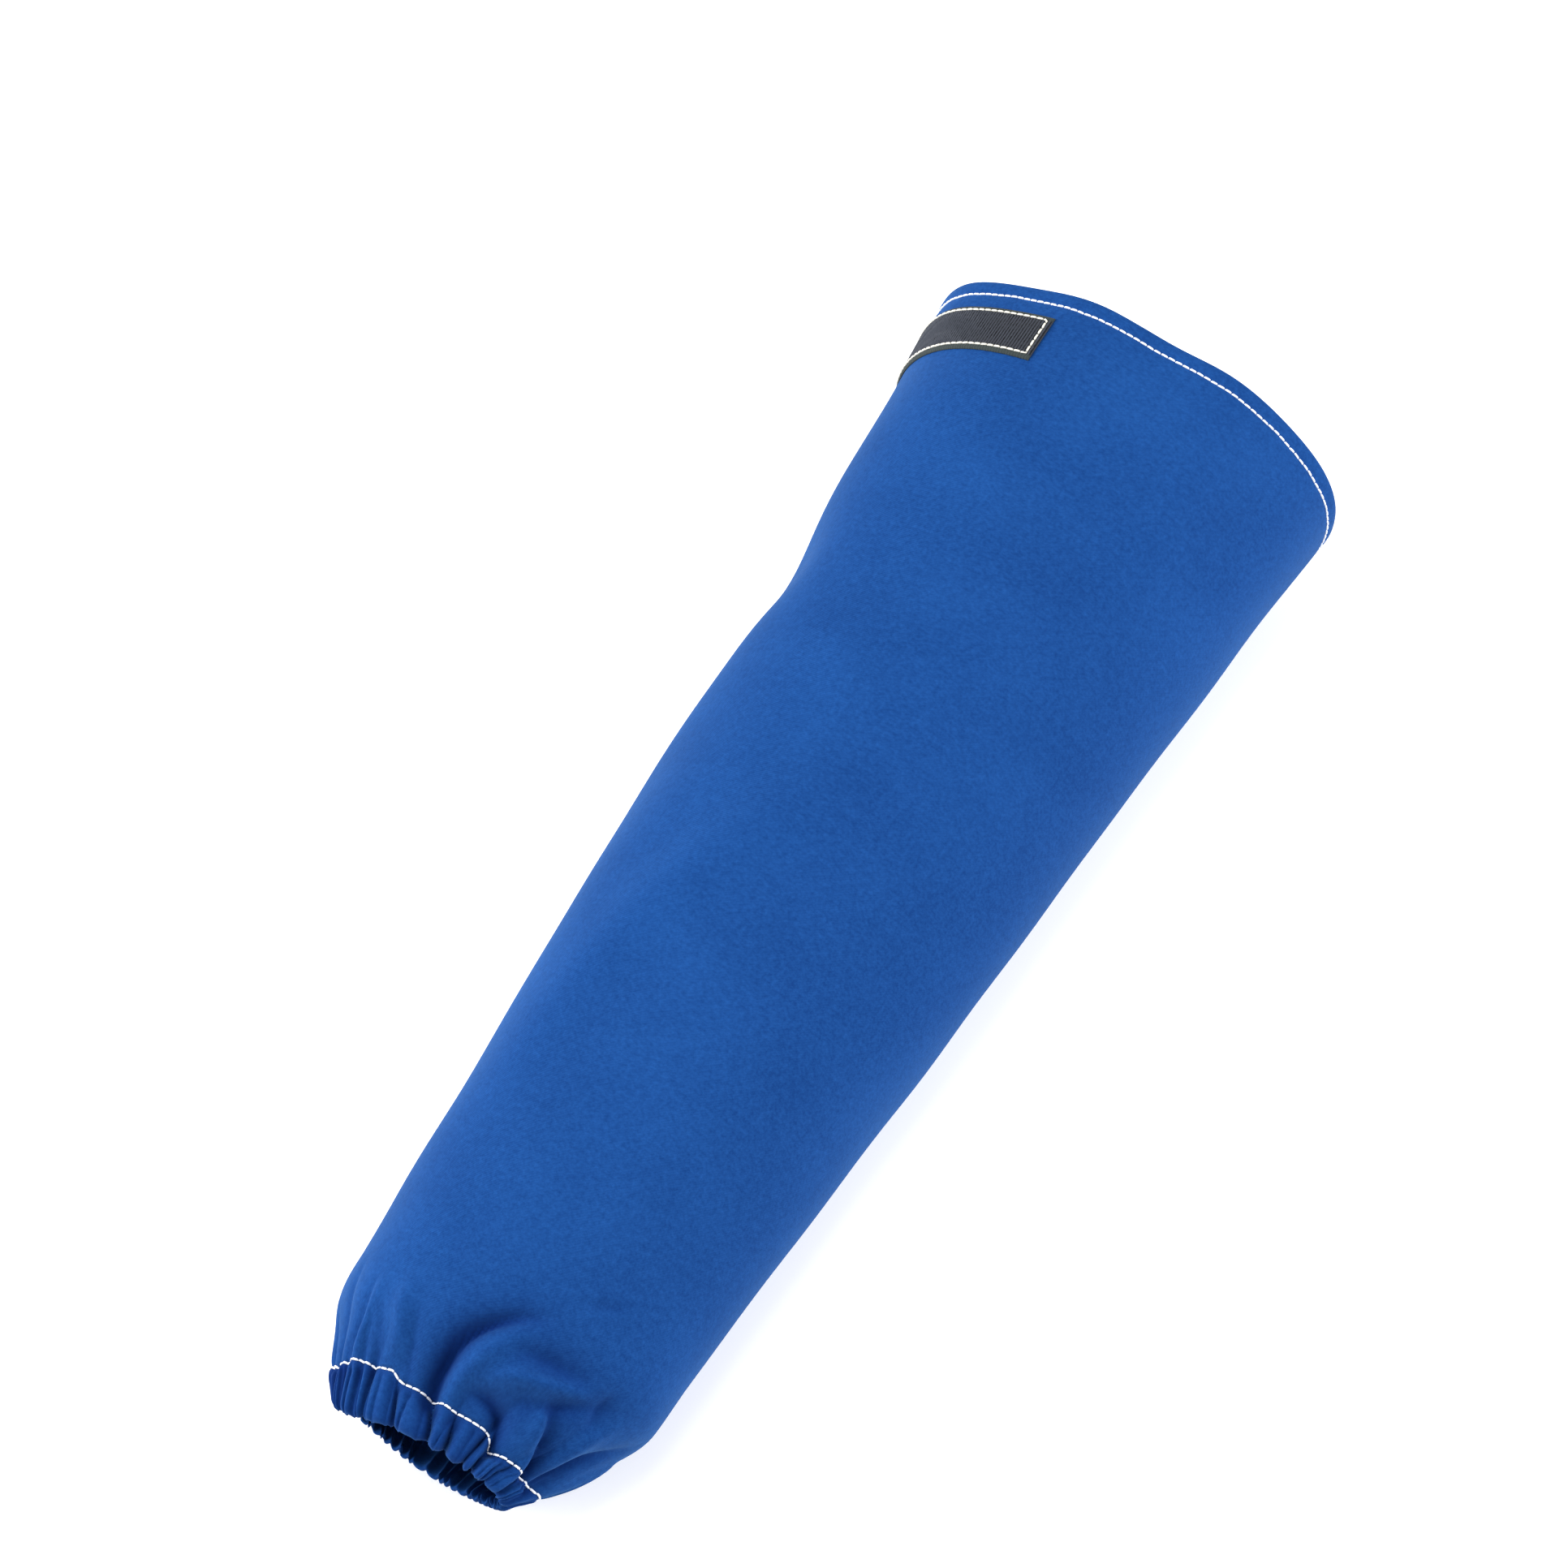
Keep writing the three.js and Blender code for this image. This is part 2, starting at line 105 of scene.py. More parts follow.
# folds round the wrist and one on the left flank: the half width in mm, then points of mm from the
# wrist's edge, degrees from the right side over the top, and depth in mm
foldRows = {
    "mainValley": (3.8, [(12, 88, -4.0), (20, 90, -8.0), (28, 90, -8.4), (36, 87, -6.8), (43, 81, -4.0),
        (47, 73, -1.2)]),
    "mainRidge": (3.6, [(14, 83, 1.2), (21, 83, 2.8), (29, 80, 2.8), (39, 75, 0.8)]),
    "hookedValley": (2.8, [(20, 77, -2.0), (21, 72, -4.8), (20, 64, -5.8), (17, 56, -5.6),
        (13, 52, -3.8)]),
    "crossRidge": (2.5, [(23, 75, 0.8), (28, 67, 2.6), (31, 57, 2.8), (35, 46, 2.2), (37, 40, 0.4)]),
    "crossHollow": (3.6, [(25, 58, -2.4), (28, 49, -4.6), (32, 41, -3.4), (36, 35, -0.8)]),
    "upperHollow": (6.0, [(36, 70, -2.0), (38, 61, -3.8), (39, 50, -2.4), (38, 42, -0.6)]),
    "standingRidge": (2.5, [(28, 55, 1.0), (26, 48, 2.8), (20, 40, 2.8), (14, 32, 1.2)]),
    "standingValley": (2.7, [(27, 44, -2.4), (21, 35, -5.4), (15, 26, -4.8), (12, 22, -1.6)]),
    "pocket": (4.0, [(34, 29, -2.0), (38, 33, -3.4), (42, 34, -0.8)]),
    "rightRidge": (3.0, [(36, 20, 0.6), (28, 22, 2.0), (21, 22, 1.4)]),
    "rightValley": (3.0, [(13, 14, -3.0), (20, 15, -5.4), (27, 10, -5.0), (33, 3, -2.8), (40, -5, -0.6)]),
    "leftRidge": (2.5, [(13, 132, 1.0), (18, 131, 2.0), (24, 129, 1.8), (30, 128, 0.9), (36, 128, 0.1)]),
    "leftStreak": (2.1, [(12, 137, -1.6), (20, 135, -2.8), (26, 132, -2.4), (31, 131, -1.2),
        (36, 131, -0.2)]),
    "farStreak": (3.0, [(14, 158, -2.2), (22, 153, -2.2), (29, 149, -1.4), (36, 148, -0.7),
        (42, 148, -0.1)]),
    "secondRidge": (3.4, [(16, 106, 0.8), (23, 110, 2.6), (30, 113, 2.4), (37, 115, 0.5)]),
    "secondValley": (2.6, [(14, 99, -1.2), (20, 102, -2.0), (27, 105, -1.0), (33, 107, -0.2)]),
    "topValley": (2.6, [(13, 118, -1.8), (20, 119, -1.4), (28, 121, -0.4)]),
    "thinCrease": (1.6, [(57, 66, -0.3), (61, 58, -1.7), (65, 51, -0.3)]),
    "lowRightValley": (4.0, [(13, -22, -1.0), (24, -28, -1.6), (34, -32, -1.2), (46, -34, -0.3)]),
    "lowRightRidge": (3.2, [(14, -4, 1.0), (22, -8, 2.6), (32, -14, 1.4)]),
    "underRightRidge": (3.4, [(14, -40, 1.2), (24, -40, 1.8), (36, -38, 0.4)]),
    "underRightValley": (3.6, [(13, -58, -2.2), (24, -55, -3.0), (38, -51, -0.6)]),
    "underValley": (4.0, [(13, -100, -2.0), (24, -98, -2.8), (36, -95, -0.6)]),
    "underLeftRidge": (3.2, [(14, -117, 1.0), (24, -119, 1.6), (34, -121, 0.4)]),
    "underLeftValley": (3.8, [(13, -134, -2.2), (26, -136, -3.2), (42, -139, -0.6)]),
    "lowLeftRidge": (3.2, [(14, -150, 1.2), (26, -152, 2.0), (38, -153, 0.4)]),
    "lowLeftValley": (4.0, [(13, -170, -2.4), (26, -168, -3.6), (38, -165, -2.6), (50, -163, -0.4)]),
    "flankRidge": (12.0, [(104, 131, 0.2), (140, 124, 2.0), (175, 116, 2.8), (205, 108, 2.8),
        (232, 97, 2.0), (262, 90, 0.2)]),
}
foldTop = 290 * mm

# single dents and puffs: mm from the wrist's edge, degrees round, length in mm, spread in degrees,
# depth in mm
dentRows = {
    "wristPuff": (27, 66, 6, 12, 1.6),
    "wristSide": (16, 162, 16, 25, -4.6),
    "forearmSide": (142, 168, 80, 32, -5.0),
    "waistDent": (335, 161, 21, 18, -3.6),
    "rightSag": (235, -43, 95, 8, -1.9),
    "rightUpperSag": (385, -34, 60, 9, -1.7),
    "leftSag": (215, 212, 85, 8, -1.8),
    "leftUpperSag": (360, 203, 50, 8, -1.6),
    "shoulderDent": (414, 40, 48, 16, -1.5),
    "hemDip": (464, 81, 44, 13, -3.0),
    "hemShoulder": (464, 118, 28, 14, -1.8),
    "hemRight": (464, 50, 30, 20, -1.0),
    "hemCorner": (464, 147, 24, 14, 1.8),
    "hemSide": (448, 178, 36, 20, -0.8),
    "lowerSide": (52, 165, 22, 30, -1.4),
    "rightPuff": (205, -14, 34, 28, 1.6),
}


def smoothStep(low, high, value):
    share = np.clip((value - low) / (high - low), 0, 1)
    return share * share * (3 - 2 * share)


def bell(value):
    return np.exp(-value * value)


def pinch(value):
    # a valley's cross profile: narrow at its bottom, with full, rounded shoulders
    return np.exp(-1.5 * (np.sqrt(value * value + 0.05) - 0.2236))


def turnBetween(angle, other):
    return (angle - other + math.pi) % (2 * math.pi) - math.pi


def bellAt(angle, middle, spread):
    # 1 at the middle and 0 away from it; middle and spread in degrees
    return bell(turnBetween(angle, math.radians(middle)) / math.radians(spread))


def columnCurve(rows, column):
    # a smooth curve through one column of a table that never overshoots its rows
    xs = np.array([row["along"] for row in rows])
    ys = np.array([row[column] for row in rows])
    slopes = np.diff(ys) / np.diff(xs)
    before = np.concatenate([slopes[:1], slopes])
    after = np.concatenate([slopes, slopes[-1:]])
    total = np.where(before * after > 0, before + after, 1)
    tangents = np.where(before * after > 0, 2 * before * after / total, 0)

    def curve(along):
        x = np.clip(along, xs[0], xs[-1])
        i = np.clip(np.searchsorted(xs, x, side="left") - 1, 0, len(xs) - 2)
        run = xs[i + 1] - xs[i]
        t = (x - xs[i]) / run
        bend = t * t * (3 - 2 * t)
        rise = t * (1 - t)
        level = ys[i] * (1 - bend) + ys[i + 1] * bend
        return level + run * rise * (tangents[i] * (1 - t) - tangents[i + 1] * t)

    return curve


sectionCurves = {key: columnCurve(sectionRows, key) for key in ("width", "height", "shift", "lift", "rest")}


def smoothPoint(distance, angle):
    # x and z of the sleeve without folds
    form = sleeveForm
    along = distance / sleeveLength
    widen = form["upperWidth"] - form["wristWidth"]
    heighten = form["upperHeight"] - form["wristHeight"]
    halfWidth = (form["wristWidth"] + widen * sectionCurves["width"](along)) / 2
    height = form["wristHeight"] + heighten * sectionCurves["height"](along)
    rest = sectionCurves["rest"](along)
    strapRaise = form["strapLift"] * smoothStep(
        form["strapBottom"] - form["strapLiftRun"], form["strapBottom"], distance)
    underside = form["mouthLift"] * sectionCurves["lift"](along) + strapRaise
    cosine, sine = np.cos(angle), np.sin(angle)
    belt = height * form["beltShare"]
    sag = height * form["sagShare"] * rest
    x = form["upperWidth"] * sectionCurves["shift"](along)
    x = x + halfWidth * np.sign(cosine) * np.abs(cosine) ** form["sideRoundness"]
    lower = belt - (belt + sag) * np.abs(sine) ** form["sideRoundness"]
    blend = height * form["settleShare"] * rest + form["settleFloor"]
    eased = np.where(lower <= -blend, 0, (lower + blend) ** 2 / (4 * blend))
    settled = np.where(lower >= blend, lower, eased)
    z = np.where(sine > 0, belt + (height - belt) * sine, settled)
    return np.stack([x, underside + z], -1), underside


# small gathers at the wrist's seam: creases at uneven angles, with rounded lobes between them
gatherValues = {
    "count": 27,
    "jitter": 0.42,
    "depth": 3.9 * mm,
    "sharpness": 0.43,
    "seamHold": 0.58,
    "seamHoldWidth": 2.4 * mm,
    "reachUp": 14 * mm,
    "slant": 0.6,
    "seamGroove": 0.6 * mm,
    "seamGrooveWidth": 1.3 * mm,
    "underCount": 68,
    "underJitter": 0.36,
    "wrinkleCount": 61,
    "wrinkleJitter": 0.4,
    "seed": 5,
}
creaseRanges = {"depth": (0.6, 1.3), "slant": (-0.5, 0.5), "reach": (0.4, 1.35), "lean": (-1, 1)}


def creasePattern(count, jitter, seed):
    # uneven crease angles once round the wrist, each with its own depth, slant and reach
    draw = random.Random(seed)
    share = [(i + 0.5 + jitter * (draw.random() * 2 - 1)) / count for i in range(count)]
    rows = {"turn": np.array([share[-1] - 1] + share + [share[0] + 1])}
    for key, (low, high) in creaseRanges.items():
        row = [low + (high - low) * draw.random() for _ in range(count)]
        rows[key] = np.array([row[-1]] + row + [row[0]])
    return rows


def lobes(angle, pattern, sharpness, drift):
    # 1 on the crown of a lobe and 0 in a crease, with the crease's own depth and reach
    count = len(pattern["turn"]) - 2
    turn = (angle / (2 * math.pi) + 0.25) % 1.0
    turn = (turn + drift * np.interp(turn, pattern["turn"], pattern["slant"]) / count) % 1.0
    phase = np.interp(turn, pattern["turn"], np.arange(-1, count + 1, dtype=float))
    lobe = np.abs(np.sin(math.pi * phase)) ** sharpness
    depth, reach, lean = (
        np.interp(turn, pattern["turn"], pattern[key]) for key in ("depth", "reach", "lean"))
    return lobe, depth * (1 + 0.5 * lean * np.clip(drift + 0.3, -0.4, 0.4)), reach


seed = gatherValues["seed"]
gatherPattern = creasePattern(gatherValues["count"], gatherValues["jitter"], seed)
underPattern = creasePattern(gatherValues["underCount"], gatherValues["underJitter"], seed + 1)
wrinklePattern = creasePattern(gatherValues["wrinkleCount"], gatherValues["wrinkleJitter"], seed + 2)


def gatherDrift(distance):
    depth = sleeveForm["casingDepth"]
    return (distance - depth) / depth * gatherValues["slant"]


# broad, soft unevenness of cloth that has been folded and lies open
slackValues = {"waves": 12, "height": 0.13 * mm, "shortest": 60, "longer": 160, "phases": 6.28, "seed": 11}


def slackWaves():
    values = slackValues
    draw = random.Random(values["seed"])
    return [{
        "turns": draw.randint(1, 7), "length": (values["shortest"] + values["longer"] * draw.random()) * mm,
        "phase": draw.random() * values["phases"], "height": values["height"] * (0.4 + 0.8 * draw.random()),
    } for _ in range(values["waves"])]


slackRows = slackWaves()


def roundedPath(path):
    # cuts the corners of a fold's path twice
    points = np.array(path, dtype=float)
    for _ in range(2):
        early, late = points[:-1] * 0.75 + points[1:] * 0.25, points[:-1] * 0.25 + points[1:] * 0.75
        points = np.concatenate([points[:1], np.stack([early, late], 1).reshape(-1, 3), points[-1:]])
    return points * np.array([mm, math.radians(1), mm])


def foldRelief(distance, angle):
    # each fold falls off with the distance over the cloth from its path
    step = math.radians(2)
    ahead, _ = smoothPoint(distance, angle + step)
    behind, _ = smoothPoint(distance, angle - step)
    radius = np.linalg.norm(ahead - behind, axis=-1) / (2 * step)
    relief = np.zeros_like(distance)
    for width, path in foldRows.values():
        nearest = np.full_like(distance, 1.0)
        depth = np.zeros_like(distance)
        points = roundedPath(path)
        for start, end in zip(points, points[1:]):
            runU, runV = (end[1] - start[1]) * radius, end[0] - start[0]
            toU, toV = turnBetween(angle, start[1]) * radius, distance - start[0]
            share = np.clip((toU * runU + toV * runV) / (runU * runU + runV * runV), 0, 1)
            gap = np.hypot(toU - share * runU, toV - share * runV)
            closer = gap < nearest
            nearest = np.where(closer, gap, nearest)
            depth = np.where(closer, start[2] + (end[2] - start[2]) * share, depth)
        across = nearest / (width * mm)
        relief += depth * np.where(depth < 0, pinch(across), bell(across))
    return relief


def gatherRelief(distance, angle):
    # the small creases at the wrist's seam, full on the casing and fading above it
    lobe, depth, reach = lobes(angle, gatherPattern, gatherValues["sharpness"], gatherDrift(distance))
    fromSeam = distance - sleeveForm["casingDepth"]
    above = np.clip(1 - fromSeam / (gatherValues["reachUp"] * reach), 0, 1)
    held = 1 - gatherValues["seamHold"] * bell(fromSeam / gatherValues["seamHoldWidth"])
    return -gatherValues["depth"] * depth * (1 - lobe) * above ** 1.5 * held


def clothRelief(distance, angle, gathered=True):
    # how far the cloth stands out from the smooth sleeve
    relief = np.zeros(np.broadcast(distance, angle).shape)
    distance, angle = np.broadcast_arrays(distance, angle)
    near = distance < foldTop
    if near.any():
        relief[near] = foldRelief(distance[near], angle[near])
    for along, middle, length, spread, depth in dentRows.values():
        run = (distance - along * mm) / (length * mm)
        relief = relief + depth * mm * bell(run) * bellAt(angle, middle, spread)
    for row in slackRows:
        wave = distance / row["length"] * 2 * math.pi + row["turns"] * angle + row["phase"]
        relief = relief + row["height"] * np.sin(wave)
    fromSeam = distance - sleeveForm["casingDepth"]
    relief = relief - gatherValues["seamGroove"] * bell(fromSeam / gatherValues["seamGrooveWidth"])
    return relief + gatherRelief(distance, angle) if gathered else relief


def foldShadeReliefAt(distance, angle):
    # the folds and gathers alone, without dents and slack: the depth from which shade is painted into the
    # folds
    foldShade = gatherRelief(distance, angle)
    near = distance < foldTop
    foldShade[near] += foldRelief(distance[near], angle[near])
    return foldShade


# the wrist seam's wander along the sleeve: degrees round, and mm
seamLine = {
    "angles": [-60, -30, -4, 24, 38, 46, 53, 59, 68, 80, 88, 101, 107, 118, 130, 154, 178, 205],
    "shifts": [0, -0.4, -1.0, -2.8, -3.2, -4.2, -4.6, -0.6, -0.8,
               -1.8, -1.2, -1.7, -0.2, -0.9, -1.4, -2.4, -2.0, 0],
    "fadeAbove": 18 * mm,
    "fadeBelow": 10 * mm,
}
hemSway = {"angle": 86, "spread": 13, "shift": -1.0 * mm, "reach": 30 * mm}


def swayAt(distance, angle):
    form = sleeveForm
    rise = smoothStep(0, form["casingDepth"], distance)
    fall = 1 - smoothStep(form["casingDepth"], form["casingDepth"] + form["foldReach"], distance)
    seam = form["seamSway"] * rise * fall * bellAt(angle, form["seamSwayAngle"], form["swaySpread"])
    lip = form["lipSway"] * (1 - rise) * bellAt(angle, form["lipSwayAngle"], form["swaySpread"])
    wander = np.interp(np.degrees(angle), seamLine["angles"], seamLine["shifts"], period=360) * mm
    fromSeam = distance - form["casingDepth"]
    near = 1 - smoothStep(0, seamLine["fadeAbove"], fromSeam)
    near = near * (1 - smoothStep(0, seamLine["fadeBelow"], -fromSeam))
    hem = hemSway["shift"] * smoothStep(sleeveLength - hemSway["reach"], sleeveLength, distance)
    hem = hem * bellAt(angle, hemSway["angle"], hemSway["spread"])
    return lip - seam + wander * near + hem


def outwardAt(distance, angle):
    # x and z of the direction away from the cloth
    step = math.radians(1.5)
    before, _ = smoothPoint(distance, angle - step)
    after, _ = smoothPoint(distance, angle + step)
    normal = np.stack([after[..., 1] - before[..., 1], before[..., 0] - after[..., 0]], -1)
    return normal / np.linalg.norm(normal, axis=-1, keepdims=True)


def outwardVector(distance, angle):
    normal = outwardAt(distance, angle)
    return np.stack([normal[..., 0], np.zeros_like(angle), normal[..., 1]], -1)


def clothPoint(distance, angle, height=0.0, relief=None):
    # a point at a height over the cloth's outer face
    normal = outwardAt(distance, angle)
    here, underside = smoothPoint(distance, angle)
    if relief is None:
        relief = clothRelief(distance, angle)
    offset = (relief + height)[..., None]
    point = here + normal * offset
    z = np.maximum(point[..., 1], underside - height)
    y = wristEdge + distance + swayAt(distance, angle)
    return np.stack([point[..., 0] + centreShift, y * np.ones_like(z), z], -1)


# the frame centres its box on the origin, and the cloth follows it
centreShift = 0.0
probe = clothPoint(np.full(720, sleeveLength), np.radians(np.arange(720) / 2))[:, 0]
tubeTop = [v.co.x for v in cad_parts["sleeve_tube"].data.vertices if v.co.y > tubeHigh.y - 1 * mm]
centreShift = (min(tubeTop) + max(tubeTop)) / 2 - (probe.min() + probe.max()) / 2
print("cloth shift", round(centreShift, 5))


def deselectAll():
    bpy.ops.object.select_all(action="DESELECT")


def makeActive(piece):
    deselectAll()
    piece.select_set(True)
    bpy.context.view_layer.objects.active = piece


def applyModifiers(piece):
    makeActive(piece)
    for modifier in list(piece.modifiers):
        bpy.ops.object.modifier_apply(modifier=modifier.name)


def gridPiece(name, points, uv):
    # a tube from rings of points, the last column joined to the first
    rows, columns = points.shape[:2]
    row = np.repeat(np.arange(rows - 1), columns)
    left = np.tile(np.arange(columns), rows - 1)
    here, beside = row * columns + left, row * columns + (left + 1) % columns
    faces = np.stack([here, here + columns, beside + columns, beside], 1)
    mesh = bpy.data.meshes.new(name)
    mesh.from_pydata(points.reshape(-1, 3).tolist(), [], faces.tolist())
    corners = [uv[line, column] for column, line in (
        (left, row), (left, row + 1), (left + 1, row + 1), (left + 1, row))]
    layer = mesh.uv_layers.new(name="UVMap")
    layer.data.foreach_set("uv", np.stack(corners, 1).reshape(-1))
    mesh.update()
    piece = bpy.data.objects.new(name, mesh)
    bpy.context.scene.collection.objects.link(piece)
    return piece


# the sleeve's cloth: one sheet turned in at the top
clothValues = {
    "columns": 280,
    "thickness": 0.8 * mm,
    "fineStep": 1.3 * mm,
    "wideStep": 4.6 * mm,
    "fineTop": 78 * mm,
    "hemDepth": 9 * mm,
    "hemGap": 2.0 * mm,
    "hemStitch": 6 * mm,
    "hemRows": 12,
    "hemStart": 1.4,
    "hemPinch": 0.35 * mm,
    "hemPinchWidth": 1.3 * mm,
    "edgeFull": 0.15 * mm,
    "edgeFullAt": 2.4 * mm,
    "edgeFullWidth": 1.6 * mm,
    "seamAngle": -90,
    "seamWidth": 1.3,
    "seamGroove": 0.7 * mm,
    "fullShadeDepth": 5.5 * mm,
    "flatWidth": 441 * mm,
    "flatWristWidth": 306 * mm,
    "flatLength": 478 * mm,
}


def clothAngles(columns):
    return -math.pi / 2 + np.arange(columns) / columns * 2 * math.pi


def sleeveDistances():
    # close rows at the folds and the hem, wide ones between
    values = clothValues
    start, hemStart = sleeveForm["casingDepth"], sleeveLength - values["hemDepth"] * values["hemStart"]
    fineCount = round((values["fineTop"] - start) / values["fineStep"])
    wideCount = round((hemStart - values["fineTop"]) / values["wideStep"])
    fine = np.linspace(start, values["fineTop"], fineCount, endpoint=False)
    wide = np.linspace(values["fineTop"], hemStart, wideCount, endpoint=False)
    hem = np.linspace(hemStart, sleeveLength - values["hemGap"] / 2, values["hemRows"])
    return np.concatenate([fine, wide, hem])


def hemRelief(distance):
    # the row of stitches pinches the hem and leaves its edge a little full
    values = clothValues
    fromEdge = sleeveLength - distance
    pinched = -values["hemPinch"] * bell((fromEdge - values["hemStitch"]) / values["hemPinchWidth"])
    return pinched + values["edgeFull"] * bell((fromEdge - values["edgeFullAt"]) / values["edgeFullWidth"])


def keepFoldShade(piece, relief):
    # how deep each point of the outer face lies in a fold, for the material's painted shade in the folds
    attribute = piece.data.attributes.new("foldShade", "FLOAT", "POINT")
    foldShade = np.zeros(len(piece.data.vertices))
    foldShade[:relief.size] = np.clip(-relief / clothValues["fullShadeDepth"], 0, 1).ravel()
    attribute.data.foreach_set("value", foldShade)


def thicken(piece, thickness):
    solid = piece.modifiers.new("thickness", "SOLIDIFY")
    solid.thickness = thickness
    solid.offset = -1
    applyModifiers(piece)


def makeSleeveCloth():
    values = clothValues
    angles = clothAngles(values["columns"])
    distances = sleeveDistances()
    grid, turn = np.meshgrid(distances, angles, indexing="ij")
    relief = clothRelief(grid, turn) + hemRelief(grid)
    seamFade = 0.4 + 0.6 * smoothStep(20 * mm, 60 * mm, grid)
    relief = relief - values["seamGroove"] * bellAt(turn, values["seamAngle"], values["seamWidth"]) * seamFade
    outer = clothPoint(grid, turn, np.zeros_like(grid), relief)
    # the turned-in hem: round the edge and back down inside
    radius = values["hemGap"] / 2
    rolled = []
    for step in range(1, 6):
        sweep = math.pi * step / 6
        edge = np.full_like(angles, sleeveLength - radius)
        inset = np.full_like(angles, -radius * (1 - math.cos(sweep)))
        ring = clothPoint(edge, angles, inset)
        ring[:, 1] += radius * math.sin(sweep)
        rolled.append(ring)
    inner = []
    for distance in np.linspace(sleeveLength - radius, sleeveLength - values["hemDepth"], 7):
        down = np.full_like(angles, distance)
        inner.append(clothPoint(down, angles, np.full_like(angles, -values["hemGap"])))
    points = np.concatenate([outer, np.array(rolled), np.array(inner)])
    along = np.concatenate([[0], np.cumsum(np.linalg.norm(np.diff(points[:, 0], axis=0), axis=1))])
    across = np.arange(values["columns"] + 1) / values["columns"]
    ring = np.linalg.norm(np.diff(points, axis=1, append=points[:, :1]), axis=-1).sum(1)
    uv = np.stack(np.broadcast_arrays(across[None, :] * ring.mean(), along[:, None]), -1)
    piece = gridPiece("sleeve_cloth", points, uv)
    keepFoldShade(piece, foldShadeReliefAt(grid, turn))
    thicken(piece, values["thickness"])
    bpy.ops.object.shade_smooth()
    return piece


sleeveCloth = makeSleeveCloth()
print("sleeve cloth", len(sleeveCloth.data.polygons))

# the gathered casing: cloth folded back over a hidden elastic
casingValues = {
    "columns": 560,
    "thickness": 0.8 * mm,
    "inset": 3.0 * mm,
    "puff": 1.5 * mm,
    "scallop": 3.4 * mm,
    "underDepth": 2.0 * mm,
    "underScallop": 1.3 * mm,
    "ribSharpness": 0.7,
    "wrinkleDepth": 1.4 * mm,
    "wrinkleSharpness": 0.9,
    "edgeFade": 3.5 * mm,
    "insideCalm": 0.4,
    "insideRows": 15,
    "edgeRows": 10,
    "outsideRows": 16,
    "edgeSweep": 0.12,
    "seamLap": 1.2 * mm,
    "edgeDepth": 2 * mm,
    "shadeBase": 2.6 * mm,
    "shadeInside": -1.7 * mm,
    "hang": 3.2 * mm,
    "hangAngle": 132,
    "hangSpread": 34,
    "flatWidth": 290 * mm,
    "flatLength": 32 * mm,
}


def casingRing(angles, distance, inset):
    # one ring of the casing: lobes on top, tight ribs underneath and inside, with the depth of painted shade
    # for each point
    values = casingValues
    depth = sleeveForm["casingDepth"]
    share = min(inset / values["inset"], 1.0)
    down = np.full_like(angles, distance)
    drift = gatherDrift(distance)
    lobe, lobeDepth, _ = lobes(angles, gatherPattern, gatherValues["sharpness"], drift)
    rib, ribDepth, _ = lobes(angles, underPattern, values["ribSharpness"], drift)
    wrinkle, wrinkleDepth, _ = lobes(
        angles, wrinklePattern, values["wrinkleSharpness"], drift * 1.6)
    within = smoothStep(0, values["edgeFade"], depth - distance)
    under = smoothStep(0.25, -0.45, np.sin(angles)) * within
    base = clothRelief(down, angles, False)
    crown = math.sin(math.pi * min(max(distance / depth, 0.0), 1.0))
    calm = 1 - values["insideCalm"] * share
    gathers = gatherRelief(down, angles) * calm + values["puff"] * crown * lobe * (1 - share)
    gathers = gathers - values["wrinkleDepth"] * wrinkleDepth * (1 - wrinkle) * within
    ribs = -values["underDepth"] * ribDepth * (1 - rib) * (0.6 + 0.4 * within)
    relief = base * calm + gathers * (1 - under) + ribs * under
    ring = clothPoint(down, angles, np.full_like(angles, -inset), relief)
    nearEdge = 1 - smoothStep(0, depth * 0.7, distance)
    ring[:, 1] -= values["hang"] * bellAt(angles, values["hangAngle"], values["hangSpread"]) * nearEdge
    rise = values["scallop"] * (1 - lobe) * lobeDepth * (1 - under)
    rise = rise + values["underScallop"] * (1 - rib) * ribDepth * under
    ring[:, 1] += rise * nearEdge
    # painted shade: the casing is painted darker all over by shadeBase, more so in its creases, and the
    # inside is set apart by shadeInside
    return ring, relief - values["shadeBase"] - values["shadeInside"] * share


def makeWristCasing():
    values = casingValues
    depth = sleeveForm["casingDepth"]
    angles = clothAngles(values["columns"])
    # rings down the inside, round the folded edge and up the outside to the seam
    radius = values["inset"] / 2
    inside = np.linspace(depth - values["seamLap"], values["edgeDepth"], values["insideRows"])
    sweeps = np.linspace(values["edgeSweep"], math.pi - values["edgeSweep"], values["edgeRows"])
    rows = [(distance, values["inset"]) for distance in inside]
    rows += [(radius * (1 - math.sin(turn)), radius * (1 + math.cos(turn))) for turn in sweeps]
    rows += [(distance, 0.0) for distance in np.linspace(values["edgeDepth"], depth, values["outsideRows"])]
    rings = [casingRing(angles, distance, inset) for distance, inset in rows]
    points, casingShade = (np.array(part) for part in zip(*rings))
    along = np.linspace(0, values["flatLength"], len(rows))
    across = np.arange(values["columns"] + 1) / values["columns"]
    uv = np.stack(np.broadcast_arrays(across[None, :] * values["flatWidth"], along[:, None]), -1)
    piece = gridPiece("wrist_cloth", points, uv)
    keepFoldShade(piece, casingShade)
    thicken(piece, values["thickness"])
    bpy.ops.object.shade_smooth()
    return piece


wristCloth = makeWristCasing()
print("wrist cloth", len(wristCloth.data.polygons))

# straps: flat tape modelled in the plane, then laid round the cloth
strapValues = {
    "top": sleeveLength - 12.5 * mm,
    "width": 20 * mm,
    "gap": 0.25 * mm,
    "wrapSteps": 2400,
}

